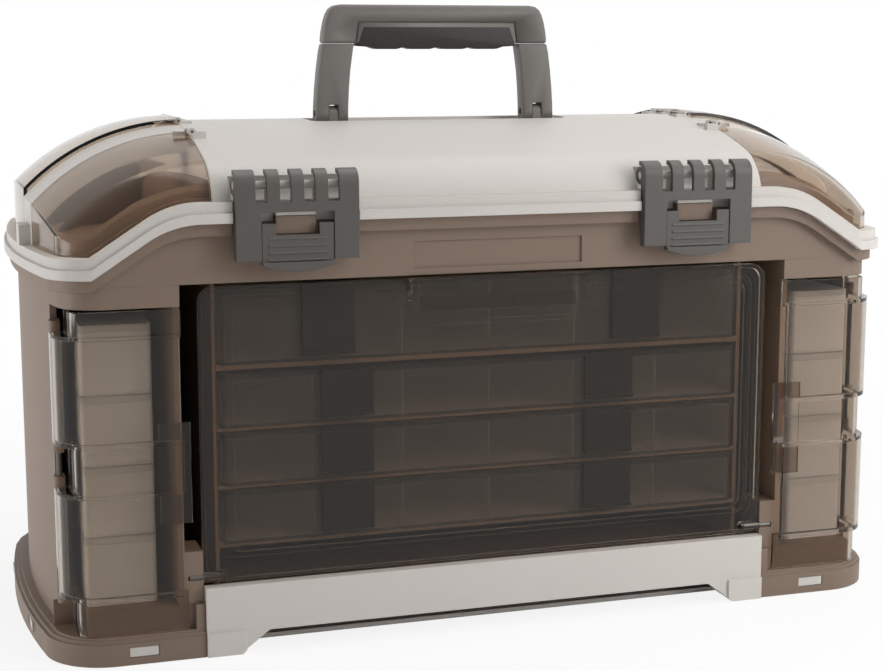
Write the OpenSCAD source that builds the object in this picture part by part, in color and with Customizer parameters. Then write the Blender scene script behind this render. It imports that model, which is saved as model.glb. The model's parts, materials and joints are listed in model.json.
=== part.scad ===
// Fishing tackle cabinet: a moulded body with a drop-front door over four utility boxes, two
// end doors over small boxes, and a lid with four covered bins, two latches and a folding handle.
// X runs across the front, -Y is the front, Z is up, and the origin is under the middle.

/* [Body] */
// Width of the walls at mid-depth
body_w = 571; // [560:1:590]
// Depth of the walls
body_d = 276; // [270:1:290]
// Radius of the bulged ends in plan
end_bulge_r = 700; // [500:10:1200]
// Corner radius of the walls in plan
corner_r = 26; // [22:1:34]
// Wall thickness of the mouldings
wall = 4; // [3:0.5:4.5]
// Height of the split between body and lid over the middle
split_z = 271.5; // [268:0.5:276]
// How far the split drops towards the ends
split_drop = 31.5; // [26:0.5:34]
// Half-width of the level part of the split
split_flat = 192; // [189:1:196]
// Angle of the sloping part of the split
split_slope = 33; // [28:1:38]
// Radius where the split starts to slope
split_r = 60; // [40:5:80]
// Height of the lip under the split
lip_h = 7.5; // [5:0.5:9]
// How far the lip stands out
lip_out = 5; // [3:0.5:5.5]
// Thickness of the decks and floors
deck_t = 4; // [3:0.5:5]

/* [Skirt and base] */
// Height of the skirt
skirt_h = 18; // [15:0.5:18]
// How far the skirt stands out at the ends
skirt_out = 10.5; // [8:0.5:12]
// How far the skirt stands out at the front and back
skirt_front = 2; // [1.5:0.25:3]
// Height of the bay floors
floor_z = 34; // [32:0.5:36]
// Height of the plinth under the front door
plinth_h = 44.2; // [42:0.2:44.6]
// Thickness of the plinth
plinth_t = 7.6; // [5:0.2:9]
// Height of the arch between the feet
arch_h = 13.8; // [10:0.2:18]
// Half-width of the arch at its top
arch_half_w = 152.8; // [120:1:160]
// Thickness of the base plate
base_t = 3; // [2:0.5:5]

/* [Front bay] */
// Half-width of the front bay
bay_half_w = 205; // [203:0.5:207]
// Height of the top of the front bay
bay_top = 234.7; // [233:0.1:236]
// Half-width of the front door
door_half_w = 193; // [190:0.5:195]
// Height of the front door's lower edge
door_z0 = 45; // [44.8:0.1:46]
// Height of the front door's upper edge
door_z1 = 232; // [228:0.5:234]
// Thickness of the clear panels
panel_t = 2.5; // [2:0.1:3]
// Height of the front door's hinge axis
door_axis_z = 50; // [49.5:0.1:51]
// Distance of the front door's hinge axis behind the front plane
door_axis_in = 5; // [4.5:0.1:6]
// Radius of the door pins
door_pin_r = 2; // [1.5:0.1:2.5]

/* [Utility boxes] */
// Width of a utility box
box_w = 356; // [340:1:356]
// Depth of a utility box
box_d = 232; // [200:1:236]
// Distance of the boxes behind the front plane
box_in = 16; // [15:0.5:24]
// Height of a slim box
slim_h = 34; // [30:0.5:34.4]
// Height of the deep top box
deep_h = 50.3; // [45:0.5:51]
// Height of the lowest shelf's top
shelf_z = 66.1; // [64:0.1:68]
// Thickness of a shelf
shelf_t = 2.6; // [2:0.1:3]
// Distance between slim shelves
shelf_pitch = 37.3; // [37.2:0.1:38]
// Height of the top shelf's upper face
top_shelf_z = 180.7; // [180:0.1:182]
// Thickness of a box's walls
box_wall = 1.8; // [1.2:0.1:2.4]
// Thickness of a box's lid
box_lid_t = 3; // [2:0.1:4]
// Number of dividers across a box
dividers = 5; // [2:1:8]

/* [End bays] */
// Lower edge of the fascia over the end doors
end_top = 221.5; // [219:0.5:224]
// Distance of the end door's hinge axis behind the front plane
end_axis_in = 31.7; // [30:0.1:34]
// Distance of the end door's hinge axis in from the widest wall
end_axis_side = 9; // [8.5:0.1:10]
// Radius of the end door's knuckles
end_knuckle_r = 3.5; // [3:0.1:4]
// Width of an end box
end_box_w = 44; // [36:0.5:46]
// Depth of an end box
end_box_d = 190; // [120:1:210]
// Distance between stacked end boxes
end_box_pitch = 44.2; // [40:0.1:44.6]
// Height of an end box with its lid
end_box_h = 43.4; // [38:0.1:43.8]
// Thickness of an end box's lid
end_lid_t = 4; // [3:0.1:5]

/* [Lid] */
// Height of the rim
rim_h = 13; // [11:0.5:14]
// How far the rim stands out at the ends
rim_out = 8.5; // [7:0.5:9.5]
// How far the rim stands out at the front and back
rim_front = 10; // [8:0.5:10.5]
// Height of the crown above the base
crown_z = 327.5; // [322:0.5:332]
// Radius of the crown from front to back
crown_r = 370; // [340:5:400]
// Radius of the crown's front and back shoulders
shoulder_r = 36; // [34:0.5:40]
// How far the shoulders stand out past the walls
shoulder_out = 4.5; // [3.5:0.5:5.5]
// Half-width of the crown between the bins
crown_half_w = 184; // [181:0.5:188]
// Radius of the domed ends across the lid
dome_r = 140; // [136:1:160]
// Thickness of the lid's skin
lid_t = 3; // [2.5:0.1:3.4]
// Front edge of the cross bands, from the middle
band_y0 = -60; // [-64:0.5:-56]
// Rear edge of the cross bands, from the middle
band_y1 = -33; // [-36:0.5:-30]
// Depth of the cross bands' walls
band_depth = 14; // [10:0.5:18]
// How far the rear covers stand above the crown
rear_rise = 3.5; // [3.2:0.1:4]
// Floor of the bin tubs
bin_z = 246; // [244:0.5:250]
// Height of the bin tubs' walls above the rim
bin_above = 12; // [8:0.5:12]
// Wall thickness of the bin and storage tubs
tub_t = 2.5; // [2:0.1:3]
// Height of the storage tub
tub_h = 31; // [24:0.5:31.5]

/* [Lid hinge and cover hinges] */
// Radius of the lid hinge's knuckles
hinge_r = 3.7; // [3.2:0.1:4]
// Radius of the lid hinge's pin
hinge_pin_r = 1.6; // [1.2:0.1:2]
// Spacing of the lid hinges
hinge_pitch = 140; // [100:1:145]
// Length of the middle knuckle
knuckle_l = 24; // [16:0.5:30]
// Radius of the cover knuckles
cover_knuckle_r = 2.5; // [2.2:0.1:2.8]
// Radius of the cover pins
cover_pin_r = 1; // [0.8:0.1:1.2]

/* [Latches] */
// Distance of the latches from the middle
latch_x = 133.8; // [120:0.5:140]
// Width of a latch
latch_w = 76.6; // [68:0.2:80]
// How far the latches stand out past the walls
latch_out = 12.7; // [12.2:0.1:13]
// Lower edge of the latch frame
latch_z0 = 248.8; // [246:0.2:252]
// Height of the latch's rod
rod_z = 294; // [293:0.1:295]
// Radius of the latch's rod
rod_r = 2.5; // [2:0.1:2.8]
// Thickness of the latch frame
latch_t = 3; // [2.4:0.1:3.2]
// Half-width of the window for the lever
window_half_w = 22.8; // [20:0.2:25]
// Top of the lever's window
window_top = 278; // [276:0.2:280]
// Lower end of the lever
lever_z0 = 241.7; // [239:0.1:244]
// Height of the lever's pin
lever_pin_z = 253; // [252:0.1:255]
// Width of the keepers
keeper_w = 25; // [20:0.2:26]

/* [Handle] */
// Height of the handle's pivot above the crown
handle_pivot_up = 3.5; // [3:0.1:4.5]
// Height of the handle above its pivot
handle_h = 74.4; // [60:0.2:90]
// Half-width of the handle at its feet
handle_half_w = 87.4; // [84:0.2:90]
// Half-width of the handle's opening at the feet
handle_in_half_w = 61.3; // [58:0.1:64]
// Thickness of the handle from front to back
handle_t = 12; // [10:0.2:14]
// Distance of the handle in front of the middle
handle_y = 6; // [0:0.5:10]
// Half-width of the grip
grip_half_w = 57; // [50:0.5:60]

/* [Fits] */
// Gap between pieces that move past each other
gap = 0.3; // [0.25:0.05:0.4]
// Radial play of pins in their bores
play = 0.06; // [0.04:0.01:0.09]

/* [Hidden] */
$fn = 64;
eps = 0.01;
big = 600;
seam = 0.05;
half_d = body_d/2;
front = -half_d;
taupe = "#8a7765";
cream = "#d8d2c6";
smoke = "#5a4a3ccc";
latch_grey = "#6f6d6b";
handle_grey = "#75706a";
clear = "#dfe3e2aa";
dark = "#2b2a29";
steel = "#b9bcc0";

// ---------- plan and profile curves ----------

// Right-hand half of a plan outline: half-length h, half-width w, an end bulged at radius R
// and corners of radius r that run into both.
module bulged_end(h, w, R, r) {
  corner_y = w - r;
  corner_x = h - R + sqrt((R - r)*(R - r) - corner_y*corner_y);
  lean = asin(corner_y/(R - r));
  reach = 3*r;
  translate([0, -w]) square([corner_x, 2*w]);
  intersection() {
    translate([h - R, 0]) circle(R, $fn = 720);
    union() {
      translate([0, -corner_y]) square([h + reach, 2*corner_y]);
      for (s = [-1, 1])
        polygon([[corner_x, s*corner_y], [corner_x + reach, s*corner_y],
          [corner_x + reach*cos(lean), s*(corner_y + reach*sin(lean))]]);
    }
  }
  for (s = [-1, 1]) translate([corner_x, s*corner_y]) circle(r);
}

// The body's outline grown by gx at the ends and gy at the front and back.
module plan(gx, gy, r) {
  for (m = [0, 1]) mirror([m, 0]) bulged_end(body_w/2 + gx, half_d + gy, end_bulge_r + gx, r);
}

module plan_prism(g, z0, z1) {
  translate([0, 0, z0]) linear_extrude(z1 - z0) plan(g, g, corner_r + g);
}

function arc(c, r, a0, a1, n) =
  [for (i = [0:n]) c + r*[cos(a0 + (a1 - a0)*i/n), sin(a0 + (a1 - a0)*i/n)]];

// Everything below the split curve raised by dz.
module below(dz) {
  bend = arc([split_flat, split_z - split_r], split_r, 90, 90 - split_slope, 8);
  bend_end = bend[len(bend) - 1];
  end_z = split_z - split_drop;
  foot_x = bend_end[0] + (bend_end[1] - end_z)/tan(split_slope);
  translate([0, 0, dz]) rotate([90, 0, 0]) linear_extrude(big, center = true)
    for (m = [0, 1]) mirror([m, 0])
      polygon(concat([[0, -big], [0, split_z]], bend, [[foot_x, end_z], [big, end_z], [big, -big]]));
}

module above(dz) {
  difference() {
    translate([-big, -big/2 + eps, 0]) cube([2*big, big - 2*eps, big]);
    below(dz);
  }
}

// Front-to-back section of the lid, shrunk by t.
module crown_section(t) {
  translate([0, crown_z - crown_r]) rotate(90)
    bulged_end(crown_r - t, half_d + shoulder_out - t, crown_r - t, shoulder_r - t);
}

module along_x(x0, x1) {
  translate([x0, 0, 0]) rotate([90, 0, 90]) linear_extrude(x1 - x0) children();
}

// The right-hand end of the lid's outer form, shrunk by t: the section turned about a
// lengthwise axis at the end of the crown, from inboard of the top to below the rim.
module dome_end(t) {
  axis_z = crown_z - dome_r;
  inboard = 120;
  sweep = 150;
  translate([crown_half_w, 0, axis_z]) rotate([-90, -inboard, 0]) rotate_extrude(angle = sweep, $fn = 180)
    rotate(-90) translate([0, -axis_z]) intersection() {
      crown_section(t);
      translate([-big/2, axis_z]) square([big, big]);
    }
}

module rounded_bar(x, y, z0, z1, r) {
  translate([x[0], y[0], z0]) linear_extrude(z1 - z0) rounded_rect(x[1] - x[0], y[1] - y[0], r);
}

module rounded_rect(w, d, r) {
  translate([r, 0]) square([w - 2*r, d]);
  translate([0, r]) square([w, d - 2*r]);
  for (cx = [r, w - r], cy = [r, d - r]) translate([cx, cy]) circle(r);
}

// Block between two corners.
module block(a, b) {
  translate(a) cube(b - a);
}

module rod_x(x0, x1, y, z, r) {
  translate([x0, y, z]) rotate([0, 90, 0]) cylinder(h = x1 - x0, r = r);
}

module rod_y(x, y0, y1, z, r) {
  translate([x, y0, z]) rotate([-90, 0, 0]) cylinder(h = y1 - y0, r = r);
}

module both_sides() {
  for (m = [0, 1]) mirror([m, 0, 0]) children();
}

module side(s) {
  mirror([s < 0 ? 1 : 0, 0, 0]) children();
}

// ---------- body ----------

partition = bay_half_w;
deck_z = bay_top + deck_t;
hinge_y = half_d + latch_out - hinge_r;
end_axis_x = body_w/2 - end_axis_side;
end_axis_y = front + end_axis_in;
end_edge_y = end_axis_y + end_knuckle_r + panel_t;
end_door_z0 = skirt_h + 1;
end_door_z1 = end_top - 1.5;
end_bands = [[41, 108], [137, 205.3]];
end_door_x0 = bay_half_w - 2;
end_door_x1 = bay_half_w + 2.4;
end_step_x = end_axis_x - 5.5;
end_band_x = end_axis_x + end_knuckle_r;
sill_y = front + 5;
window_z = [5, 11];
front_tab_x = 232;
tab_w = 18;
side_tab_y = -62;
rear_tab_y = 62;
post_y = front + 3.5;
sill_z = 1 + base_t + gap;
corner_x = end_step_x - panel_t - 4.3;
pivot_block_h = 67;
finger_z = [87, 150];
finger_x = bay_half_w - 5;
relief_half_w = 57;
relief_z = [239, 256];
relief_depth = 1.2;

module skirt_ring() {
  linear_extrude(skirt_h - 4) plan(skirt_out, skirt_front, corner_r + 14);
  linear_extrude(skirt_h - 1.5) plan(skirt_out - 2, skirt_front - 0.8, corner_r + 12);
  linear_extrude(skirt_h) plan(skirt_out - 5, skirt_front - 1.6, corner_r + 8);
}

module skirt_windows(grow) {
  both_sides() {
    block([front_tab_x - tab_w/2 - grow, front - 20, window_z[0] - grow],
      [front_tab_x + tab_w/2 + grow, front + 15, window_z[1] + grow]);
    for (y = [side_tab_y, rear_tab_y])
      block([body_w/2 - 12, y - tab_w/2 - grow, window_z[0] - grow],
        [body_w/2 + 40, y + tab_w/2 + grow, window_z[1] + grow]);
  }
}

module latch_notch(dy) {
  both_sides()
    block([latch_x - latch_w/2 - 1, front - 30, split_z - 30],
      [latch_x + latch_w/2 + 1, front - dy, split_z + 40]);
}

module hinge_knuckles(parts, grow, r) {
  for (i = [-1:1], p = parts)
    rod_x(i*hinge_pitch + p[0] - grow, i*hinge_pitch + p[1] + grow, hinge_y, split_z, r);
}

rim_wall_half = 250;
back_seam_y = 104;
body_knuckles = [[-knuckle_l/2, knuckle_l/2]];
lid_knuckles = [[-knuckle_l/2 - 14, -knuckle_l/2 - gap], [knuckle_l/2 + gap, knuckle_l/2 + 14]];

module hinge_webs(parts, y0, z0, z1) {
  for (i = [-1:1], p = parts)
    block([i*hinge_pitch + p[0], y0, z0], [i*hinge_pitch + p[1], hinge_y, z1]);
}

module keepers() {
  both_sides()
    block([latch_x - keeper_w/2, front - 7, split_z - 7.1], [latch_x + keeper_w/2, front - seam, split_z + 3.8]);
}

module body_solid() {
  intersection() {
    plan_prism(0, 0, split_z);
    below(0);
  }
  skirt_ring();
}

// Where the front and back walls of the rim stand, above the bays.
module rim_walls_zone() {
  for (m = [0, 1]) mirror([0, m, 0]) {
    block([-rim_wall_half, half_d - wall, deck_z], [rim_wall_half, big, big]);
    // skin over the deck's edge
    block([-rim_wall_half, half_d - wall/2, bay_top], [rim_wall_half, big, deck_z + 1]);
  }
}

module door_relief() {
  block([-relief_half_w, front - 1, relief_z[0]], [relief_half_w, front + relief_depth, relief_z[1]]);
}

// Ledge round the top of the body, broken at the latches
module body_lip() {
  difference() {
    intersection() {
      translate([0, 0, split_z - split_drop - lip_h]) linear_extrude(split_drop + lip_h)
        plan(lip_out, lip_out, corner_r + lip_out);
      below(0);
      above(-lip_h);
    }
    plan_prism(gap/3, 0, big);
    latch_notch(0);
  }
}

module body_rim() color(taupe) {
  difference() {
    union() {
      difference() {
        intersection() {
          plan_prism(0, bay_top, split_z);
          below(0);
          rim_walls_zone();
        }
        door_relief();
      }
      body_lip();
      keepers();
      hinge_knuckles(body_knuckles, 0, hinge_r);
      hinge_webs(body_knuckles, half_d + gap/3, split_z - lip_h, split_z);
    }
    hinge_knuckles(lid_knuckles, gap, hinge_r + gap);
    hinge_knuckles(body_knuckles, 1, hinge_pin_r + play);
  }
}

// Blocks in the front corners of the bay that hold the front door's pins
module door_blocks() color(taupe) {
  both_sides() difference() {
    block([door_half_w + 0.5, post_y, floor_z], [bay_half_w, front + 30, pivot_block_h]);
    rod_x(door_half_w, bay_half_w - 2, front + door_axis_in, door_axis_z, door_pin_r + play);
  }
}

module end_bay_cut() {
  // bay behind the end door
  intersection() {
    plan_prism(-wall, floor_z, bay_top);
    block([bay_half_w + wall, -big/2, floor_z], [big, big/2, bay_top]);
  }
  // door opening round the corner
  block([bay_half_w - 6, front - 30, skirt_h], [big, end_edge_y, end_top]);
}

module body_shell() color(taupe) {
  difference() {
    union() {
      difference() {
        body_solid();
        plan_prism(-wall, deck_z, big);
        block([-bay_half_w, front - 30, floor_z], [bay_half_w, half_d - wall, bay_top]);
        block([-door_half_w - gap, front - 30, -1], [door_half_w + gap, front + plinth_t + gap, bay_top]);
        both_sides() end_bay_cut();
        plan_prism(-wall, -1, floor_z - deck_t);
        translate([0, 0, -1]) linear_extrude(skirt_h - 9)
          plan(skirt_out - wall, skirt_front - wall, corner_r + 10);
        rim_walls_zone();
      }
      // end bay floors, sills and posts
      both_sides() {
        difference() {
          union() {
            intersection() {
              plan_prism(-wall + eps, floor_z - deck_t, floor_z);
              block([bay_half_w - 1, sill_y, 0], [big, 0, floor_z]);
            }
            intersection() {
              plan_prism(-1, sill_z, floor_z);
              block([door_half_w + gap, sill_y, 0], [big, sill_y + wall, floor_z]);
            }
          }
          block([corner_x, -big, skirt_h], [big, end_edge_y, big]);
        }
        // step down to the skirt where the door turns the corner
        block([corner_x - wall, sill_y, sill_z], [corner_x, end_edge_y + 1, floor_z]);
        intersection() {
          plan_prism(-1, skirt_h - deck_t, skirt_h);
          block([corner_x - 1, sill_y, 0], [big, end_edge_y + 1, skirt_h]);
        }
        block([corner_x - 1, end_edge_y - 1, skirt_h - 1], [end_axis_x + 6, end_edge_y + 1, floor_z]);
        block([bay_half_w, post_y, floor_z - 1], [bay_half_w + wall, 0, bay_top]);
        end_body_knuckles();
      }
    }
    skirt_windows(gap);
    both_sides() end_pin_bore();
    // the back is a piece of its own
    block([-big, back_seam_y, -1], [big, back_seam_y + seam, big]);
  }
}

// Lengths between the door's bands where the body holds the pin
function end_knuckle_spans() = [
  [end_bands[0][0] - 7, end_bands[0][0] - gap], [end_bands[0][1] + gap, end_bands[0][1] + 7],
  [end_bands[1][0] - 7, end_bands[1][0] - gap], [end_bands[1][1] + gap, end_bands[1][1] + 7]];

module end_body_knuckles() {
  for (z = end_knuckle_spans()) {
    translate([end_axis_x, end_axis_y, z[0]]) cylinder(h = z[1] - z[0], r = end_knuckle_r);
    block([end_axis_x - end_knuckle_r, end_axis_y, z[0]], [end_axis_x + end_knuckle_r - 1, end_edge_y + 1, z[1]]);
  }
}

module end_pin_bore() {
  translate([end_axis_x, end_axis_y, end_bands[0][0] - 8])
    cylinder(h = end_bands[1][1] - end_bands[0][0] + 16, r = hinge_pin_r + play);
}

// ---------- base ----------

rib_t = 3;
rib_h = 12;
long_rib = [250, 60];
short_rib = [100, 95];
pad_x0 = 168;
pad_h = 15;
pad_out = 3.6;
// How far the arch flares beyond its top, and how high, at each corner of its foot
arch_flare = [[19, -1], [14, 3.6]];

module base_plate() color(cream) {
  difference() {
    union() {
      translate([0, 0, 1]) linear_extrude(base_t)
        plan(skirt_out - wall - gap, skirt_front - wall - gap, corner_r + 10 - gap);
      // plinth
      block([-door_half_w, front - 2, 0], [door_half_w, front - 2 + plinth_t, plinth_h]);
      // feet pads on the plinth
      both_sides() block([pad_x0, front - pad_out, 0], [door_half_w, front, pad_h]);
      // ribs each way
      for (i = [-1:1])
        block([-long_rib[0], i*long_rib[1] - rib_t/2, 1], [long_rib[0], i*long_rib[1] + rib_t/2, rib_h]);
      for (i = [-2:2])
        block([i*short_rib[1] - rib_t/2, -short_rib[0], 1], [i*short_rib[1] + rib_t/2, short_rib[0], rib_h]);
      both_sides() {
        block([front_tab_x - tab_w/2, front - 1.5, window_z[0]],
          [front_tab_x + tab_w/2, front + 14, window_z[1]]);
        block([front_tab_x - tab_w/2, front + 10, 1], [front_tab_x + tab_w/2, front + 14, window_z[1]]);
        for (y = [side_tab_y, rear_tab_y]) {
          block([body_w/2 - 16, y - tab_w/2, window_z[0]], [body_w/2 + 8, y + tab_w/2, window_z[1]]);
          block([body_w/2 - 18, y - tab_w/2, 1], [body_w/2 - 14, y + tab_w/2, window_z[1]]);
        }
      }
    }
    // arch
    translate([0, front + 20, 0]) rotate([90, 0, 0]) linear_extrude(40)
      for (m = [0, 1]) mirror([m, 0])
        polygon([[0, -1], [0, arch_h], [arch_half_w, arch_h],
          [arch_half_w + arch_flare[1][0], arch_flare[1][1]], [arch_half_w + arch_flare[0][0], arch_flare[0][1]]]);
  }
  // bridge behind the arch, out of sight
  block([-arch_half_w, front + plinth_t - 5, arch_h], [arch_half_w, front + plinth_t - 2, arch_h + 6]);
}

module storage_tub() color(taupe) {
  half_w = crown_half_w - 1.5;
  half_y = half_d - wall - 4;
  difference() {
    rounded_bar([-half_w, half_w], [-half_y, half_y], deck_z, deck_z + tub_h, 12);
    rounded_bar([-half_w + tub_t, half_w - tub_t], [-half_y + tub_t, half_y - tub_t],
      deck_z + tub_t, big, 12 - tub_t);
  }
}

// ---------- rack and utility boxes ----------

rack_half_w = box_w/2 + 2 + tub_t;
rack_y0 = front + box_in + 4;
rack_y1 = front + box_in + box_d + 2;
shelf_tops = [top_shelf_z, shelf_z + 2*shelf_pitch, shelf_z + shelf_pitch, shelf_z];

module box_rack() color(taupe) {
  in_half = rack_half_w - tub_t - seam;
  rack_top = bay_top - 1.5;
  both_sides() block([rack_half_w - tub_t, rack_y0, floor_z], [rack_half_w, rack_y1 + tub_t, rack_top]);
  block([-in_half, rack_y1, floor_z], [in_half, rack_y1 + tub_t, rack_top]);
  block([-in_half, rack_y0, floor_z], [in_half, rack_y1 - seam, floor_z + tub_t]);
  for (i = [0:3]) {
    t = i == 0 ? shelf_t + 1 : shelf_t;
    block([-in_half, rack_y0, shelf_tops[i] - t], [in_half, rack_y1 - seam, shelf_tops[i]]);
  }
}

function box_h(i) = i == 1 ? deep_h : slim_h;
function box_z(i) = shelf_tops[i - 1] + gap/2;
box_y0 = front + box_in;
box_latches = [-97, 83];
deep_box_latches = [-109, 102];
function latch_places(i) = i == 1 ? deep_box_latches : box_latches;
catch_half_w = 17;
catch_seat = 1.2;
box_corner_r = 6;

module utility_box(i) color(clear) {
  z0 = box_z(i);
  z1 = z0 + box_h(i) - box_lid_t - gap/2;
  difference() {
    rounded_bar([-box_w/2, box_w/2], [box_y0, box_y0 + box_d], z0, z1, box_corner_r);
    rounded_bar([-box_w/2 + box_wall, box_w/2 - box_wall],
      [box_y0 + box_wall, box_y0 + box_d - box_wall], z0 + box_wall, big, box_corner_r - box_wall);
    for (x = latch_places(i))
      block([x - catch_half_w - 1, box_y0 - 1, z0 + 3], [x + catch_half_w + 1, box_y0 + catch_seat, z1 + 1]);
  }
  // lengthwise wall down the middle
  mid_half = box_w/2 - box_wall - seam;
  block([-mid_half, box_y0 + box_d/2 - box_wall/2, z0 + box_wall + seam],
    [mid_half, box_y0 + box_d/2 + box_wall/2, z1 - 1]);
}

module utility_box_lid(i) color(clear) {
  z1 = box_z(i) + box_h(i);
  difference() {
    rounded_bar([-box_w/2, box_w/2], [box_y0, box_y0 + box_d], z1 - box_lid_t, z1, box_corner_r);
    for (x = latch_places(i))
      block([x - catch_half_w - 1, box_y0 - 1, z1 - box_lid_t - 1],
        [x + catch_half_w + 1, box_y0 + catch_seat, z1 + 1]);
  }
}

module utility_box_latches(i) color(dark) {
  z0 = box_z(i) + 4;
  z1 = box_z(i) + box_h(i);
  for (x = latch_places(i)) {
    difference() {
      block([x - catch_half_w, box_y0 - 2.4, z0], [x + catch_half_w, box_y0 + 1, z1]);
      block([x - catch_half_w + 3, box_y0 - 1, z0 + 3], [x + catch_half_w - 3, box_y0 + 2, z1 - 6]);
    }
    // thumb edge
    block([x - catch_half_w, box_y0 - 4, z0], [x + catch_half_w, box_y0 - 2, z0 + 2.4]);
  }
}

module utility_box_dividers(i) color(clear) {
  z0 = box_z(i) + box_wall + gap;
  z1 = box_z(i) + box_h(i) - box_lid_t - 1;
  pitch = box_w/(dividers + 1);
  for (k = [1:dividers], row = [0, 1]) {
    x = -box_w/2 + k*pitch + row*6;
    y = box_y0 + box_wall + gap + row*box_d/2;
    block([x - 0.7, y, z0], [x + 0.7, y + box_d/2 - 2*box_wall - 2*gap, z1]);
  }
}

// ---------- front door ----------

// Each step of the door's pressing: half-width, lower edge, upper edge, how far it stands forward.
door_steps = [[0, 0, 0, 0], [7.4, 13.2, 4, 1.5], [13.5, 17, 7, 3], [18, 21.1, 11, 4]];

module door_step_plate(s, inset, y0, y1, r) {
  half = door_half_w - s[0] - inset;
  z0 = door_z0 + s[1] + inset;
  z1 = door_z1 - s[2] - inset;
  translate([0, y1, 0]) rotate([90, 0, 0]) linear_extrude(y1 - y0)
    translate([-half, z0]) rounded_rect(2*half, z1 - z0, r - inset/2);
}

siding = [[205, 221], [138.2, 205], [104.6, 138.2], [66.1, 104.6]];

module front_door() color(smoke) {
  flange_y = front + 4;
  difference() {
    union() {
      for (s = door_steps) door_step_plate(s, 0, flange_y - s[3], flange_y + panel_t, 10);
      // rim turned back round the edge
      door_step_plate(door_steps[0], 0, flange_y, flange_y + 5, 10);
      // pull over the top edge
      rounded_bar([-60, 60], [front - 4, front + 3], door_z1 - 20, door_z1 + 0.5, 3);
    }
    for (s = door_steps)
      door_step_plate(s, panel_t, flange_y - s[3] + panel_t, flange_y + 12, 10);
    block([-54, front - 1.5, door_z1 - 30], [54, front + 9, door_z1 - 2]);
    both_sides() rod_x(door_half_w - 12, door_half_w + 1, front + door_axis_in, door_axis_z, door_pin_r + play);
  }
  // siding that leans out towards each lower edge
  half = door_half_w - door_steps[3][0] - 4;
  for (p = siding)
    along_x(-half, half)
      polygon([[front + panel_t - 1, p[0]], [front - 1.6, p[0]], [front + 0.2, p[1] - 0.4],
        [front + panel_t - 1, p[1] - 0.4]]);
  // sockets that hold the pins
  both_sides() difference() {
    rod_x(door_half_w - 14, door_half_w, front + door_axis_in, door_axis_z, door_pin_r + 1.8);
    rod_x(door_half_w - 12, door_half_w + 1, front + door_axis_in, door_axis_z, door_pin_r + play);
  }
}

module front_door_pins() color(steel) {
  both_sides()
    rod_x(door_half_w - 11, bay_half_w - 3, front + door_axis_in, door_axis_z, door_pin_r);
}

// ---------- end doors ----------

// Section of a panel that runs along the front and back round the corner.
module corner_section(x0, x1, y0, y1, r) {
  intersection() {
    translate([x0, y0]) square([x1 - x0, y1 - y0]);
    union() {
      translate([x0, y0]) square([x1 - r - x0, y1 - y0]);
      translate([x0, y0 + r]) square([x1 - x0, big]);
      translate([x1 - r, y0 + r]) circle(r);
    }
  }
}

module end_door_shape(inset) {
  translate([0, 0, end_door_z0 - 1 + (inset > 0 ? 0 : 1)])
    linear_extrude(end_door_z1 - end_door_z0 + (inset > 0 ? 2 : 0))
      corner_section(end_door_x0 - inset*4, end_step_x - inset, front + 0.4 + inset,
        end_axis_y - 1 + inset*4, 12 - inset);
  for (b = end_bands)
    translate([0, 0, b[0] + inset]) linear_extrude(b[1] - b[0] - 2*inset)
      corner_section(end_door_x0 + 4 - inset*4, end_band_x - inset, front - 4 + inset,
        end_axis_y + inset*2, 29 - inset);
}

module end_door() {
  difference() {
    union() {
      difference() {
        end_door_shape(0);
        end_door_shape(panel_t);
        // slanted free edge
        translate([0, front + 20, 0]) rotate([90, 0, 0]) linear_extrude(60)
          polygon([[0, 0], [end_door_x0, 0], [end_door_x1 + 0.4, big], [0, big]]);
      }
      for (b = end_bands)
        translate([end_axis_x, end_axis_y, b[0]]) cylinder(h = b[1] - b[0], r = end_knuckle_r);
      // finger pull over the post
      rounded_pull();
    }
    for (b = end_bands)
      translate([end_axis_x, end_axis_y, b[0] - 1]) cylinder(h = b[1] - b[0] + 2, r = hinge_pin_r + play);
  }
}

module rounded_pull() {
  mid = (finger_z[0] + finger_z[1])/2;
  difference() {
    block([finger_x, front - 0.6, finger_z[0]], [end_door_x1 + 12, front + 2, finger_z[1]]);
    translate([finger_x - 1, front - 34, mid]) rotate([0, 90, 0]) cylinder(h = 9, r = 34.8);
  }
}

module end_door_left() color(smoke) side(-1) end_door();
module end_door_right() color(smoke) end_door();

module end_pin() {
  translate([end_axis_x, end_axis_y, end_bands[0][0] - 7])
    cylinder(h = end_bands[1][1] - end_bands[0][0] + 14, r = hinge_pin_r);
}

module end_door_pin_left() color(steel) side(-1) end_pin();
module end_door_pin_right() color(steel) end_pin();

// ---------- end boxes ----------

end_box_x0 = bay_half_w + wall + 11;
end_box_y0 = front + 16;

end_box_wall = 1.5;
end_box_r = 4;

function end_box_z(i) = floor_z + gap/2 + (4 - i)*end_box_pitch;

module end_box(i) color(clear) {
  z0 = end_box_z(i);
  z1 = z0 + end_box_h - end_lid_t - gap/2;
  difference() {
    rounded_bar([end_box_x0, end_box_x0 + end_box_w], [end_box_y0, end_box_y0 + end_box_d], z0, z1, end_box_r);
    rounded_bar([end_box_x0 + end_box_wall, end_box_x0 + end_box_w - end_box_wall],
      [end_box_y0 + end_box_wall, end_box_y0 + end_box_d - end_box_wall], z0 + end_box_wall, big,
      end_box_r - end_box_wall);
  }
}

module end_box_lids() color(clear) {
  for (i = [1:4]) {
    z1 = end_box_z(i) + end_box_h;
    rounded_bar([end_box_x0, end_box_x0 + end_box_w], [end_box_y0, end_box_y0 + end_box_d],
      z1 - end_lid_t, z1, end_box_r);
  }
}

module end_box_lids_left() side(-1) end_box_lids();
module end_box_lids_right() end_box_lids();

// ---------- lid ----------

front_hinge = [(front + 60 + front + 76)/2, crown_z - 4];
front_hinge_l = 16;
rear_hinge = [1, crown_z + 0.7];
rear_hinge_l = 60;

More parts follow.
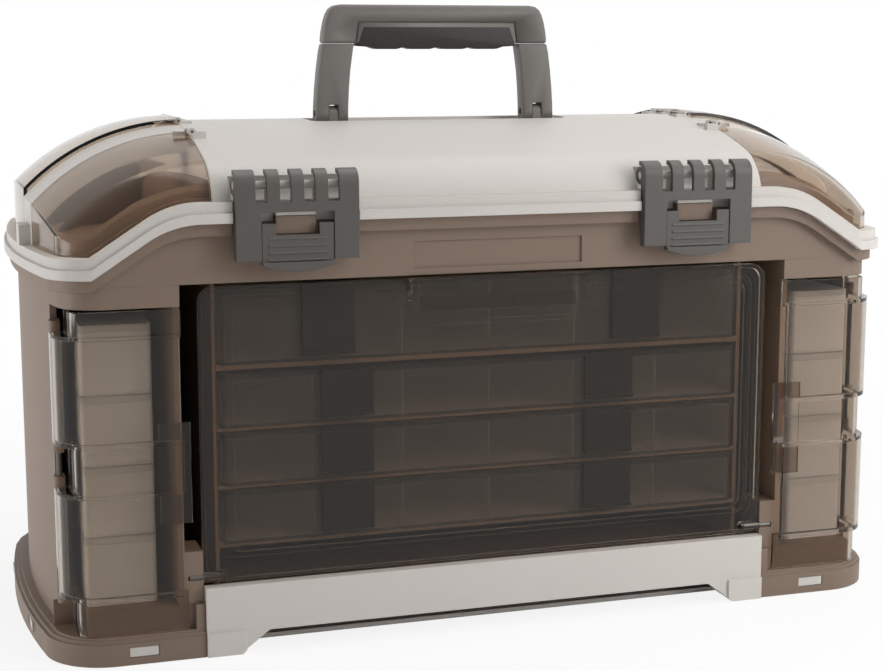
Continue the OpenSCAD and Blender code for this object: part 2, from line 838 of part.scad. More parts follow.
rod_y0 = front - latch_out + 9.5;
scoop_r = 9.5 + 0.7;
rod_lugs = [-15, 15];
rim_seam_x = [190, 250];
rim_seam_y = 112;

module scoop(r, extra) {
  both_sides() rod_x(latch_x - latch_w/2 - 1 - extra, latch_x + latch_w/2 + 1 + extra, rod_y0, rod_z, r);
}

module rim_ring() {
  difference() {
    intersection() {
      translate([0, 0, split_z - split_drop]) linear_extrude(big) plan(rim_out, rim_front, corner_r + 4);
      above(gap);
      below(rim_h);
    }
    // step along the outside
    difference() {
      above(rim_h/2);
      translate([0, 0, -1]) linear_extrude(big) plan(rim_out - 2, rim_front - 2, corner_r + 2);
    }
    plan_prism(-wall, 0, big);
    latch_notch(1);
    keeper_notch();
  }
}

module keeper_notch() {
  both_sides() block([latch_x - keeper_w/2 - 0.5, front - 20, split_z - 1],
    [latch_x + keeper_w/2 + 0.5, front + 1.5, split_z + 4.1]);
}

well_z = crown_z + handle_pivot_up - handle_t/2 - gap;

module crown_shell() {
  difference() {
    intersection() {
      along_x(-crown_half_w, crown_half_w) crown_section(0);
      block([-big, -big, split_z + rim_h], [big, big, big]);
    }
    intersection() {
      along_x(-crown_half_w + 3.5, crown_half_w - 3.5) crown_section(lid_t);
      block([-big, -big, 0], [big, big, big]);
    }
    // shallow well round the handle
    rounded_bar([-handle_half_w - 5, handle_half_w + 5], [-handle_y - 18, -handle_y + 18],
      well_z, crown_z + 10, 6);
  }
  // floor of the well
  block([-handle_half_w - 8, -handle_y - 21, well_z - lid_t], [handle_half_w + 8, -handle_y + 21, well_z]);
}

module cross_band() {
  // a hair under the crown
  band_drop = 0.2;
  difference() {
    intersection() {
      dome_end(band_drop);
      plan_prism(0.5, split_z - split_drop, big);
      block([crown_half_w, band_y0, 0], [big, band_y1, big]);
      above(rim_h);
    }
    intersection() {
      dome_end(lid_t);
      plan_prism(-2.5, 0, big);
      block([crown_half_w + 1, band_y0 + lid_t, 0], [big, band_y1 - lid_t, big]);
    }
    intersection() {
      dome_end(band_depth);
      plan_prism(-7 + gap, 0, big);
    }
  }
}

module lid_knuckle_set(h, l, parts) {
  seg = l/(2*parts + 1);
  for (k = [0:parts]) {
    y = h[0] - l/2 + 2*k*seg;
    rod_y(crown_half_w, y + gap/2, y + seg - gap/2, h[1], cover_knuckle_r);
    block([crown_half_w - 9, y + gap/2, h[1] - 6], [crown_half_w, y + seg - gap/2, h[1]]);
  }
}

module cover_knuckle_set(h, l, parts) {
  seg = l/(2*parts + 1);
  for (k = [0:parts - 1]) {
    y = h[0] - l/2 + (2*k + 1)*seg;
    rod_y(crown_half_w, y + gap/2, y + seg - gap/2, h[1], cover_knuckle_r);
    block([crown_half_w, y + gap/2, h[1] - cover_knuckle_r], [crown_half_w + 11, y + seg - gap/2, h[1]]);
  }
}

module hinge_relief(grow) {
  rod_y(crown_half_w, front_hinge[0] - front_hinge_l/2 - gap, front_hinge[0] + front_hinge_l/2 + gap,
    front_hinge[1], cover_knuckle_r + grow);
  rod_y(crown_half_w, rear_hinge[0] - rear_hinge_l/2 - gap, rear_hinge[0] + rear_hinge_l/2 + gap,
    rear_hinge[1], cover_knuckle_r + grow);
}

module cover_pin_bores() {
  for (h = [[front_hinge, front_hinge_l], [rear_hinge, rear_hinge_l]])
    rod_y(crown_half_w, h[0][0] - h[1]/2 - 2, h[0][0] + h[1]/2 + 2, h[0][1], cover_pin_r + play);
}

module lid_shell() color(cream) {
  pivot_z = crown_z + handle_pivot_up;
  difference() {
    union() {
      difference() {
        union() {
          crown_shell();
          // scoops behind the latches
          intersection() {
            scoop(scoop_r + lid_t, 2);
            along_x(-crown_half_w, crown_half_w) crown_section(0);
            block([-big, -big, split_z + rim_h], [big, 0, big]);
          }
        }
        scoop(scoop_r, 0);
        both_sides() hinge_relief(gap + 0.1);
      }
      both_sides() {
        lid_knuckle_set(front_hinge, front_hinge_l, 1);
        lid_knuckle_set(rear_hinge, rear_hinge_l, 2);
        // lug between the forks of the handle
        block([handle_lug_x - 3, -handle_y - 5, well_z + seam], [handle_lug_x + 3, -handle_y + 5, pivot_z]);
        rod_x(handle_lug_x - 3, handle_lug_x + 3, -handle_y, pivot_z, 5);
      }
    }
    both_sides() {
      cover_pin_bores();
      rod_x(handle_lug_x - 5, handle_lug_x + 5, -handle_y, pivot_z, handle_pin_r + play);
    }
  }
}

// Parts the rim where its curve bends and where its corners start
module rim_seams() {
  for (s = [-1, 1]) {
    for (x = rim_seam_x) block([s*x - seam/2, -big, 0], [s*x + seam/2, big, big]);
    block([-big, s*rim_seam_y - seam/2, 0], [big, s*rim_seam_y + seam/2, big]);
  }
}

module lid_rim() color(cream) {
  difference() {
    union() {
      rim_ring();
      both_sides() {
        // lugs that hold the latch's rod
        for (x = rod_lugs)
          block([latch_x + x - 3, rod_y0 - rod_r - 0.8, split_z + rim_h - 1],
            [latch_x + x + 3, rod_y0 + rod_r + 0.8, rod_z + rod_r]);
        // upper keeper
        block([latch_x - keeper_w/2, front - 7, split_z + 4.1], [latch_x + keeper_w/2, front + 1, split_z + 7.1]);
      }
      hinge_knuckles(lid_knuckles, 0, hinge_r);
      hinge_webs(lid_knuckles, half_d + 1, split_z, split_z + rim_h/2);
    }
    hinge_knuckles(body_knuckles, gap, hinge_r + gap);
    hinge_knuckles(lid_knuckles, 1, hinge_pin_r + play);
    both_sides() for (x = rod_lugs) rod_x(latch_x + x - 5, latch_x + x + 5, rod_y0, rod_z, rod_r + play);
    rim_seams();
  }
}

module lid_bands() color(cream) {
  both_sides() {
    cross_band();
    // thumb block at the foot of the band
    block([body_w/2 - 3, band_y0 + 5, split_z - split_drop + rim_h],
      [body_w/2 + 5.5, band_y1 - 4, split_z - split_drop + rim_h + 13]);
  }
}

module bin_outline(inset, z0, z1) {
  intersection() {
    plan_prism(-7 - inset, z0, z1);
    block([crown_half_w + inset, -big, 0], [big, big, big]);
  }
}

module bin_tub() {
  difference() {
    union() {
      intersection() {
        bin_outline(0, bin_z, big);
        below(rim_h + bin_above);
        dome_end(lid_t + 3.4);
      }
      // flange that rests on the rim
      intersection() {
        plan_prism(-2 - gap - 0.2, 0, big);
        block([crown_half_w, -big, 0], [big, big, big]);
        above(rim_h);
        below(rim_h + 1.8);
        union() {
          block([0, -big, 0], [big, band_y0 - gap, big]);
          block([0, band_y1 + panel_t + 2*gap, 0], [big, big, big]);
        }
      }
    }
    bin_outline(tub_t, bin_z + tub_t, big);
  }
}

module bin_tub_left() color(taupe) side(-1) bin_tub();
module bin_tub_right() color(taupe) bin_tub();

// Shell of a cover between two depths, raised by rise.
module cover(rise, y0, y1, h, l, parts, lip_w) {
  x0 = crown_half_w + gap + 0.1;
  difference() {
    union() {
      difference() {
        intersection() {
          dome_end(-rise);
          plan_prism(0.5, split_z - split_drop, big);
          block([x0, y0, 0], [big, y1, big]);
          above(rim_h + gap/3);
        }
        intersection() {
          dome_end(panel_t - rise);
          plan_prism(-2, 0, big);
          block([0, y0 + lip_w, 0], [big, y1 + 1, big]);
        }
        // the turned-down edge over the cross band stays between the two cuts
        if (lip_w > 0) intersection() {
          dome_end(panel_t + 2);
          plan_prism(-4, 0, big);
        }
        hinge_relief(gap + 0.1);
      }
      cover_knuckle_set(h, l, parts);
    }
    cover_pin_bores();
  }
}

module front_cover() {
  cover(0, -big, band_y0 - gap, front_hinge, front_hinge_l, 1, 0);
}

module rear_cover() {
  cover(rear_rise, band_y1 + gap, big, rear_hinge, rear_hinge_l, 2, panel_t);
}

module front_cover_left() color(smoke) side(-1) front_cover();
module front_cover_right() color(smoke) front_cover();
module rear_cover_left() color(smoke) side(-1) rear_cover();
module rear_cover_right() color(smoke) rear_cover();

module cover_pins() color(steel) {
  both_sides() for (h = [[front_hinge, front_hinge_l], [rear_hinge, rear_hinge_l]])
    rod_y(crown_half_w, h[0][0] - h[1]/2 + gap/2, h[0][0] + h[1]/2 - gap/2, h[0][1], cover_pin_r);
}

module lid_hinge_pins() color(steel) {
  for (i = [-1:1])
    rod_x(i*hinge_pitch + lid_knuckles[0][0], i*hinge_pitch + lid_knuckles[1][1], hinge_y, split_z, hinge_pin_r);
}

// ---------- handle ----------

handle_pin_r = 2;
handle_lug_x = (handle_half_w + handle_in_half_w)/2;

module handle() color(handle_grey) {
  pivot_z = crown_z + handle_pivot_up;
  top = pivot_z + handle_h;
  seam = top - 27;
  shoulder = 6;
  difference() {
    union() {
      translate([0, -handle_y + handle_t/2, 0]) rotate([90, 0, 0]) linear_extrude(handle_t)
        difference() {
          union() {
            polygon([[-handle_half_w, pivot_z], [handle_half_w, pivot_z], [handle_half_w - 4.6, seam],
              [handle_half_w - 8, top - shoulder], [handle_half_w - 14, top], [-handle_half_w + 14, top],
              [-handle_half_w + 8, top - shoulder], [-handle_half_w + 4.6, seam]]);
            for (s = [-1, 1]) translate([s*(handle_half_w - 14), top - shoulder]) circle(shoulder);
          }
          polygon([[-handle_in_half_w, pivot_z - 1], [handle_in_half_w, pivot_z - 1],
            [handle_in_half_w - 4, seam], [handle_in_half_w - 9, top - 12], [-handle_in_half_w + 9, top - 12],
            [-handle_in_half_w + 4, seam]]);
        }
      both_sides() rod_x(handle_in_half_w, handle_half_w, -handle_y, pivot_z, handle_t/2);
    }
    both_sides() {
      // fork over the lug
      block([handle_lug_x - 3 - gap, -handle_y - big, pivot_z - 20],
        [handle_lug_x + 3 + gap, -handle_y + big, pivot_z + 9]);
      rod_x(handle_in_half_w + 3, handle_half_w - 3, -handle_y, pivot_z, handle_pin_r + play);
    }
    // seat of the grip
    block([-grip_half_w - gap, -handle_y - handle_t, top - 22], [grip_half_w + gap, -handle_y + handle_t, top - 3]);
  }
}

module handle_grip() color(dark) {
  top = crown_z + handle_pivot_up + handle_h;
  rounded_bar([-grip_half_w, grip_half_w], [-handle_y - handle_t/2 - 1, -handle_y + handle_t/2 + 1],
    top - 20, top - 3 - gap/3, 5);
  // finger bumps along the underside
  bump_pitch = 22;
  bump_half_w = 8;
  for (i = [-2:2])
    rod_x(i*bump_pitch - bump_half_w, i*bump_pitch + bump_half_w, -handle_y, top - 19, handle_t/2);
}

module handle_pins() color(steel) {
  both_sides()
    rod_x(handle_in_half_w + 3 + gap, handle_half_w - 3 - gap, -handle_y, crown_z + handle_pivot_up, handle_pin_r);
}

// ---------- latches ----------

latch_front = front - latch_out;
slot_pitch = 15;
slot_w = 7;
arm_gap = keeper_w + 2;
lever_pin_r = 1.5;

module latch_frame() {
  r = rod_y0 - latch_front;
  flange = 3;
  difference() {
    union() {
      block([latch_x - latch_w/2, latch_front, latch_z0], [latch_x + latch_w/2, latch_front + latch_t, rod_z]);
      // curl over the rod
      difference() {
        rod_x(latch_x - latch_w/2, latch_x + latch_w/2, rod_y0, rod_z, r);
        rod_x(latch_x - latch_w/2 - 1, latch_x + latch_w/2 + 1, rod_y0, rod_z, r - latch_t);
        block([0, front - big, rod_z - big], [big, front + big, rod_z]);
        block([0, rod_y0 + 1, 0], [big, front + big, big]);
      }
      // side cheeks
      for (m = [-1, 1]) {
        x0 = latch_x + m*(latch_w/2 - flange/2) - flange/2;
        rod_x(x0, x0 + flange, rod_y0, rod_z, rod_r + 3);
        block([x0, latch_front + 1, latch_z0], [x0 + flange, front - lip_out - 0.6, rod_z]);
        block([x0, latch_front + 1, rod_z - 6], [x0 + flange, rod_y0, rod_z + 5]);
      }
    }
    for (k = [-1.5:1:1.5])
      block([latch_x + k*slot_pitch - slot_w/2, latch_front - 1, rod_z - 10],
        [latch_x + k*slot_pitch + slot_w/2, rod_y0 + 3, rod_z + r + 1]);
    block([latch_x - window_half_w, latch_front - 1, 0],
      [latch_x + window_half_w, latch_front + latch_t + 1, window_top]);
    rod_x(latch_x - latch_w/2 - 1, latch_x + latch_w/2 + 1, rod_y0, rod_z, rod_r + play);
    rod_x(latch_x - window_half_w - 8, latch_x + window_half_w + 8, lever_axis_y, lever_pin_z, lever_pin_r + play);
  }
}

lever_axis_y = latch_front + latch_t + 0.2;

module latch_lever() {
  half = window_half_w - 0.4;
  z_mid = split_z - 7.4;
  difference() {
    union() {
      block([latch_x - half, latch_front + 0.6, lever_z0 + 4], [latch_x + half, latch_front + latch_t + 1, z_mid]);
      for (m = [-1, 1])
        block([latch_x + m*(half + arm_gap/2)/2 - (half - arm_gap/2)/2, latch_front + 0.6, z_mid - 1],
          [latch_x + m*(half + arm_gap/2)/2 + (half - arm_gap/2)/2, latch_front + latch_t, split_z - 0.4]);
      // ribs for the fingers
      for (k = [0:3])
        rod_x(latch_x - half + 4, latch_x + half - 4, latch_front + 1, lever_z0 + 7 + 4.4*k, 1);
      // lip at the lower edge
      intersection() {
        translate([latch_x, latch_front + 3, lever_z0 + 60]) rotate([90, 0, 0])
          cylinder(h = 4.4, r = 60, $fn = 180);
        block([latch_x - half, latch_front - 1.4, lever_z0 - 1], [latch_x + half, latch_front + 3, lever_z0 + 6]);
      }
    }
    rod_x(latch_x - half - 1, latch_x + half + 1, lever_axis_y, lever_pin_z, lever_pin_r + play);
  }
}

module latch_frame_left() color(latch_grey) side(-1) latch_frame();
module latch_frame_right() color(latch_grey) latch_frame();
module latch_lever_left() color(latch_grey) side(-1) latch_lever();
module latch_lever_right() color(latch_grey) latch_lever();

module latch_rods() color(cream) {
  both_sides() rod_x(latch_x - latch_w/2 + 0.2, latch_x + latch_w/2 - 0.2, rod_y0, rod_z, rod_r);
}

module lever_pin() {
  rod_x(latch_x - window_half_w - 6, latch_x + window_half_w + 6, lever_axis_y, lever_pin_z, lever_pin_r);
}

module lever_pin_left() color(steel) side(-1) lever_pin();
module lever_pin_right() color(steel) lever_pin();

body_shell();
body_rim();
door_blocks();
base_plate();
storage_tub();
box_rack();
utility_box(1);  // utility_box_1
utility_box(2);  // utility_box_2
utility_box(3);  // utility_box_3
utility_box(4);  // utility_box_4
utility_box_lid(1);  // utility_box_lid_1
utility_box_lid(2);  // utility_box_lid_2
utility_box_lid(3);  // utility_box_lid_3
utility_box_lid(4);  // utility_box_lid_4
utility_box_latches(1);  // utility_box_latches_1
utility_box_latches(2);  // utility_box_latches_2
utility_box_latches(3);  // utility_box_latches_3
utility_box_latches(4);  // utility_box_latches_4
utility_box_dividers(1);  // utility_box_dividers_1
utility_box_dividers(2);  // utility_box_dividers_2
utility_box_dividers(3);  // utility_box_dividers_3
utility_box_dividers(4);  // utility_box_dividers_4
side(-1) end_box(1);  // end_box_left_1
side(-1) end_box(2);  // end_box_left_2
side(-1) end_box(3);  // end_box_left_3
side(-1) end_box(4);  // end_box_left_4
end_box(1);  // end_box_right_1
end_box(2);  // end_box_right_2
end_box(3);  // end_box_right_3
end_box(4);  // end_box_right_4
end_box_lids_left();
end_box_lids_right();
front_door();
front_door_pins();
end_door_left();
end_door_right();
end_door_pin_left();
end_door_pin_right();
lid_shell();
lid_rim();
lid_bands();
bin_tub_left();
bin_tub_right();
front_cover_left();
front_cover_right();
rear_cover_left();
rear_cover_right();
cover_pins();
lid_hinge_pins();
handle();
handle_grip();
handle_pins();
latch_frame_left();
latch_frame_right();
latch_lever_left();
latch_lever_right();
latch_rods();
lever_pin_left();
lever_pin_right();
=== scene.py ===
# %% [markdown]
# A fishing tackle cabinet: a moulded taupe body, a cream lid, smoke-brown clear doors over
# clear boxes, grey latches and a handle. The hard pieces come in as they are built, so the
# first step is to load them. What is left is light, colour and the small moulded details.

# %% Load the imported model
import json
import math

import bpy
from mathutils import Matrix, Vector


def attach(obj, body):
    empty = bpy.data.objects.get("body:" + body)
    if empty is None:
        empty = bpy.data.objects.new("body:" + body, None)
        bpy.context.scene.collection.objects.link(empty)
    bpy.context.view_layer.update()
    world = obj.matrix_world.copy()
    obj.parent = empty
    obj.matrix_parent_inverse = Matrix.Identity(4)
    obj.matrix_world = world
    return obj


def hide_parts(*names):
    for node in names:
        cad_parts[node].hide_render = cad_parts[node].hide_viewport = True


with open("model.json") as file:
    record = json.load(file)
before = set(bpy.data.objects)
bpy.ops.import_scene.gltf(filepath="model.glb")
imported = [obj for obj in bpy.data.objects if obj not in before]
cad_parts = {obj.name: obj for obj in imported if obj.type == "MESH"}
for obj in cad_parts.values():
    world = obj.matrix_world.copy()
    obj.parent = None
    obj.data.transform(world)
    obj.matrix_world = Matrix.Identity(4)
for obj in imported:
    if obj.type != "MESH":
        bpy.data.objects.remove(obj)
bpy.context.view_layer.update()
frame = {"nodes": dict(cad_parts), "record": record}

nodes = frame["nodes"]


# %% [markdown]
# The camera stands to the left of the cabinet and a little above it, with a long lens, as
# product photographers do: the front door keeps its straight edges and the lid just shows.

# %% Camera
CAMERA_PLACE = (-0.3860, -1.1918, 0.3780)
CAMERA_TURN = (90 - 9.344, 0, -18.251)
CAMERA_LENS = 72.21


def add_camera():
    camera = bpy.data.objects.new("camera", bpy.data.cameras.new("camera"))
    camera.data.lens = CAMERA_LENS
    camera.data.sensor_width = 36
    camera.data.clip_end = 50
    camera.location = CAMERA_PLACE
    camera.rotation_euler = [math.radians(a) for a in CAMERA_TURN]
    bpy.context.scene.collection.objects.link(camera)
    bpy.context.scene.camera = camera
    return camera


camera = add_camera()
print("lens:", camera.data.lens)


# %% [markdown]
# A soft studio: the main lamp stands to the right in front, with a lamp overhead, a small
# one near the right front and a low one at the left end, in a dim world.
# The floor and the world are white to the camera and in reflections only, so the white
# background puts no extra light on the plastic.

# %% Lamps, world and floor
def add_lamp(name, place, aim, size, power):
    data = bpy.data.lights.new(name, "AREA")
    data.shape = "RECTANGLE"
    data.size = size[0]
    data.size_y = size[1]
    data.energy = power
    lamp = bpy.data.objects.new(name, data)
    lamp.location = place
    lamp.rotation_euler = (Vector(aim) - Vector(place)).to_track_quat("-Z", "Y").to_euler()
    bpy.context.scene.collection.objects.link(lamp)
    return lamp


def seen_ray(tree):
    """1 for rays from the camera, in reflections and through glass; 0 for light on the object."""
    path = tree.nodes.new("ShaderNodeLightPath")
    total = path.outputs["Is Camera Ray"]
    for kind in ("Is Glossy Ray", "Is Transmission Ray"):
        add = tree.nodes.new("ShaderNodeMath")
        add.operation = "MAXIMUM"
        tree.links.new(total, add.inputs[0])
        tree.links.new(path.outputs[kind], add.inputs[1])
        total = add.outputs[0]
    return total


def make_world(strength):
    world = bpy.data.worlds.new("studio")
    bpy.context.scene.world = world
    world.use_nodes = True
    tree = world.node_tree
    back = tree.nodes["Background"]
    back.inputs["Color"].default_value = (1, 1, 1, 1)
    mix = tree.nodes.new("ShaderNodeMapRange")
    mix.inputs["To Min"].default_value = strength
    mix.inputs["To Max"].default_value = 1
    tree.links.new(seen_ray(tree), mix.inputs["Value"])
    tree.links.new(mix.outputs[0], back.inputs["Strength"])


def make_floor():
    bpy.ops.mesh.primitive_plane_add(size=12, location=(0, 0, -0.0005))
    floor = bpy.context.object
    floor.name = "floor"
    material = bpy.data.materials.new("pale floor")
    material.use_nodes = True
    tree = material.node_tree
    paint = tree.nodes["Principled BSDF"]
    paint.inputs["Base Color"].default_value = (0.93, 0.93, 0.93, 1)
    paint.inputs["Roughness"].default_value = 0.9
    glow = tree.nodes.new("ShaderNodeEmission")
    glow.inputs["Color"].default_value = (1, 1, 1, 1)
    blend = tree.nodes.new("ShaderNodeMixShader")
    # the glow rises with the distance from the object, so that no horizon shows
    where = tree.nodes.new("ShaderNodeTexCoord").outputs["Object"]
    away = tree.nodes.new("ShaderNodeVectorMath")
    away.operation = "LENGTH"
    tree.links.new(where, away.inputs[0])
    rise = tree.nodes.new("ShaderNodeMapRange")
    rise.inputs["From Min"].default_value = 0.3
    rise.inputs["From Max"].default_value = 0.9
    rise.inputs["To Min"].default_value = 0.86
    rise.inputs["To Max"].default_value = 1.0
    tree.links.new(away.outputs["Value"], rise.inputs["Value"])
    share = tree.nodes.new("ShaderNodeMath")
    share.operation = "MULTIPLY"
    tree.links.new(seen_ray(tree), share.inputs[0])
    tree.links.new(rise.outputs[0], share.inputs[1])
    tree.links.new(share.outputs[0], blend.inputs["Fac"])
    tree.links.new(paint.outputs[0], blend.inputs[1])
    tree.links.new(glow.outputs[0], blend.inputs[2])
    tree.links.new(blend.outputs[0], tree.nodes["Material Output"].inputs["Surface"])
    floor.data.materials.append(material)
    return floor


bpy.context.scene.view_settings.view_transform = "Standard"
make_world(0.22)
floor = make_floor()
lamps = [
    add_lamp("key right", (0.9, -1.1, 1.35), (0, 0, 0.2), (1.0, 1.0), 9),
    add_lamp("top", (0.3, 0.1, 1.8), (0, 0, 0.2), (1.4, 1.2), 14),
    add_lamp("near right", (0.75, -0.75, 0.45), (0.1, -0.1, 0.2), (0.5, 0.5), 4),
    add_lamp("low left", (-1.6, 0.05, 0.3), (-0.2, 0, 0.2), (0.8, 0.6), 9),
]
print("lamps:", [lamp.name for lamp in lamps])


# %% [markdown]
# Moulded plastic is never quite flat: the mould's surface leaves a fine grain, and the colour
# drifts a little where the plastic flowed. Both are the same effect at other strengths on
# every piece, so they are one node group that gives a height and a tone.

# %% Node groups for moulded grain and painted edge sheen
def new_group(name, inputs, outputs):
    tree = bpy.data.node_groups.new(name, "ShaderNodeTree")
    for socket, kind, value in inputs:
        made = tree.interface.new_socket(socket, in_out="INPUT", socket_type=kind)
        made.default_value = value
    for socket, kind in outputs:
        tree.interface.new_socket(socket, in_out="OUTPUT", socket_type=kind)
    return tree, tree.nodes.new("NodeGroupInput"), tree.nodes.new("NodeGroupOutput")


def noise(tree, coordinates, scale, detail=2.0, roughness=0.5):
    node = tree.nodes.new("ShaderNodeTexNoise")
    node.inputs["Detail"].default_value = detail
    node.inputs["Roughness"].default_value = roughness
    tree.links.new(coordinates, node.inputs["Vector"])
    if hasattr(scale, "links"):
        tree.links.new(scale, node.inputs["Scale"])
    else:
        node.inputs["Scale"].default_value = scale
    return node.outputs["Fac"]


def math_node(tree, operation, first, second):
    node = tree.nodes.new("ShaderNodeMath")
    node.operation = operation
    for socket, value in zip(node.inputs, (first, second)):
        if hasattr(value, "links"):
            tree.links.new(value, socket)
        else:
            socket.default_value = value
    return node.outputs[0]


def make_grain():
    tree, ins, outs = new_group(
        "moulded grain",
        [("Coordinates", "NodeSocketVector", (0, 0, 0)), ("Grain Size", "NodeSocketFloat", 900.0),
         ("Drift", "NodeSocketFloat", 0.06)],
        [("Height", "NodeSocketFloat"), ("Tone", "NodeSocketFloat")],
    )
    where = ins.outputs["Coordinates"]
    fine = noise(tree, where, ins.outputs["Grain Size"], 3.0, 0.6)
    slow = noise(tree, where, 9.0, 2.0)
    tree.links.new(fine, outs.inputs["Height"])
    centred = math_node(tree, "SUBTRACT", slow, 0.5)
    drift = math_node(tree, "MULTIPLY", centred, ins.outputs["Drift"])
    tree.links.new(math_node(tree, "ADD", drift, 1.0), outs.inputs["Tone"])
    return tree


def make_edge_sheen():
    """A mask that is 1 on sharp outer edges, broken up by noise; it paints a paler highlight along
    the edges.
    """
    tree, ins, outs = new_group(
        "painted edge sheen",
        [("Coordinates", "NodeSocketVector", (0, 0, 0)),
         ("Rounded Normal", "NodeSocketVector", (0, 0, 1)),
         ("Strength", "NodeSocketFloat", 0.5)],
        [("Mask", "NodeSocketFloat")],
    )
    flat = tree.nodes.new("ShaderNodeNewGeometry").outputs["Normal"]
    meet = tree.nodes.new("ShaderNodeVectorMath")
    meet.operation = "DOT_PRODUCT"
    tree.links.new(ins.outputs["Rounded Normal"], meet.inputs[0])
    tree.links.new(flat, meet.inputs[1])
    bend = math_node(tree, "SUBTRACT", 1.0, meet.outputs["Value"])
    edge = math_node(tree, "MULTIPLY", bend, 5.0)
    patches = noise(tree, ins.outputs["Coordinates"], 60.0, 4.0, 0.7)
    broken = math_node(tree, "MULTIPLY", edge, patches)
    scaled = math_node(tree, "MULTIPLY", broken, ins.outputs["Strength"])
    tree.links.new(math_node(tree, "MINIMUM", scaled, 1.0), outs.inputs["Mask"])
    return tree


grain = make_grain()
edge_sheen = make_edge_sheen()
print("groups:", grain.name, "and", edge_sheen.name)


# %% [markdown]
# One recipe serves the opaque plastics. The grain drives a Bump node and shifts the colour a
# little, and a Bevel node rounds every edge by a fraction of a millimetre in the shading,
# because no moulded edge is sharp. The grain's own size and depth set each plastic apart.

# %% Opaque plastics
EDGE_RADIUS = 0.0007


def opaque_plastic(name, colour, roughness, grain_size, grain_depth):
    material = bpy.data.materials.new(name)
    material.use_nodes = True
    tree = material.node_tree
    skin = tree.nodes["Principled BSDF"]
    skin.inputs["Specular IOR Level"].default_value = 0.38
    where = tree.nodes.new("ShaderNodeTexCoord").outputs["Object"]
    texture = tree.nodes.new("ShaderNodeGroup")
    texture.node_tree = grain
    texture.inputs["Grain Size"].default_value = grain_size
    tree.links.new(where, texture.inputs["Coordinates"])
    tint = tree.nodes.new("ShaderNodeVectorMath")
    tint.operation = "SCALE"
    tint.inputs[0].default_value = colour
    tree.links.new(texture.outputs["Tone"], tint.inputs["Scale"])
    rounded = tree.nodes.new("ShaderNodeBevel")
    rounded.samples = 4
    rounded.inputs["Radius"].default_value = EDGE_RADIUS
    sheen_node = tree.nodes.new("ShaderNodeGroup")
    sheen_node.node_tree = edge_sheen
    sheen_node.inputs["Strength"].default_value = 0.35
    tree.links.new(where, sheen_node.inputs["Coordinates"])
    tree.links.new(rounded.outputs[0], sheen_node.inputs["Rounded Normal"])
    # painted highlight: the colour turns paler along the sharp edges in place of the sheen that
    # light puts there; the same mask also lowers the roughness
    paler = tree.nodes.new("ShaderNodeMix")
    paler.data_type = "RGBA"
    paler.inputs[7].default_value = (*[min(1.0, 1.5 * c + 0.03) for c in colour], 1)
    tree.links.new(sheen_node.outputs["Mask"], paler.inputs["Factor"])
    tree.links.new(tint.outputs[0], paler.inputs[6])
    tree.links.new(paler.outputs[2], skin.inputs["Base Color"])
    shine = tree.nodes.new("ShaderNodeMapRange")
    shine.inputs["To Min"].default_value = roughness
    shine.inputs["To Max"].default_value = roughness - 0.15
    tree.links.new(sheen_node.outputs["Mask"], shine.inputs["Value"])
    tree.links.new(shine.outputs[0], skin.inputs["Roughness"])
    bump = tree.nodes.new("ShaderNodeBump")
    bump.inputs["Strength"].default_value = 0.35
    bump.inputs["Distance"].default_value = grain_depth
    tree.links.new(texture.outputs["Height"], bump.inputs["Height"])
    tree.links.new(rounded.outputs[0], bump.inputs["Normal"])
    tree.links.new(bump.outputs[0], skin.inputs["Normal"])
    return material


taupe = opaque_plastic("taupe moulding", (0.198, 0.141, 0.105), 0.52, 1100.0, 0.0004)
cream = opaque_plastic("cream moulding", (0.60, 0.565, 0.53), 0.50, 1100.0, 0.0003)
latch_grey = opaque_plastic("latch grey", (0.085, 0.077, 0.071), 0.42, 1500.0, 0.0002)
handle_grey = opaque_plastic("handle grey", (0.15, 0.138, 0.127), 0.45, 1500.0, 0.0002)
grip_rubber = opaque_plastic("soft grip", (0.0125, 0.0108, 0.0095), 0.55, 700.0, 0.0006)
catch_black = opaque_plastic("black catch", (0.006, 0.005, 0.005), 0.35, 1500.0, 0.0001)
opaque = (taupe, cream, latch_grey, handle_grey, grip_rubber, catch_black)
print("opaque:", [material.name for material in opaque])


# %% [markdown]
# The doors and bin covers are clear smoke-brown sheet, and the boxes behind them are paler.
# Light on its way from a lamp goes straight through as tinted shadow, so the boxes stay lit.

# %% Clear plastics
def clear_plastic(name, colour, shadow, roughness, passing, wave, bending):
    material = bpy.data.materials.new(name)
    material.use_nodes = True
    tree = material.node_tree
    skin = tree.nodes["Principled BSDF"]
    skin.inputs["Base Color"].default_value = (*colour, 1)
    skin.inputs["Roughness"].default_value = roughness
    skin.inputs["IOR"].default_value = bending
    skin.inputs["Transmission Weight"].default_value = passing
    where = tree.nodes.new("ShaderNodeTexCoord").outputs["Object"]
    ripple = noise(tree, where, 14.0, 1.0)
    bump = tree.nodes.new("ShaderNodeBump")
    bump.inputs["Strength"].default_value = wave
    bump.inputs["Distance"].default_value = 0.002
    tree.links.new(ripple, bump.inputs["Height"])
    rounded = tree.nodes.new("ShaderNodeBevel")
    rounded.samples = 4
    rounded.inputs["Radius"].default_value = 0.0006
    tree.links.new(rounded.outputs[0], bump.inputs["Normal"])
    tree.links.new(bump.outputs[0], skin.inputs["Normal"])
    through = tree.nodes.new("ShaderNodeBsdfTransparent")
    through.inputs["Color"].default_value = (*shadow, 1)
    path = tree.nodes.new("ShaderNodeLightPath")
    blend = tree.nodes.new("ShaderNodeMixShader")
    tree.links.new(path.outputs["Is Shadow Ray"], blend.inputs["Fac"])
    tree.links.new(skin.outputs[0], blend.inputs[1])
    tree.links.new(through.outputs[0], blend.inputs[2])
    tree.links.new(blend.outputs[0], tree.nodes["Material Output"].inputs["Surface"])
    return material


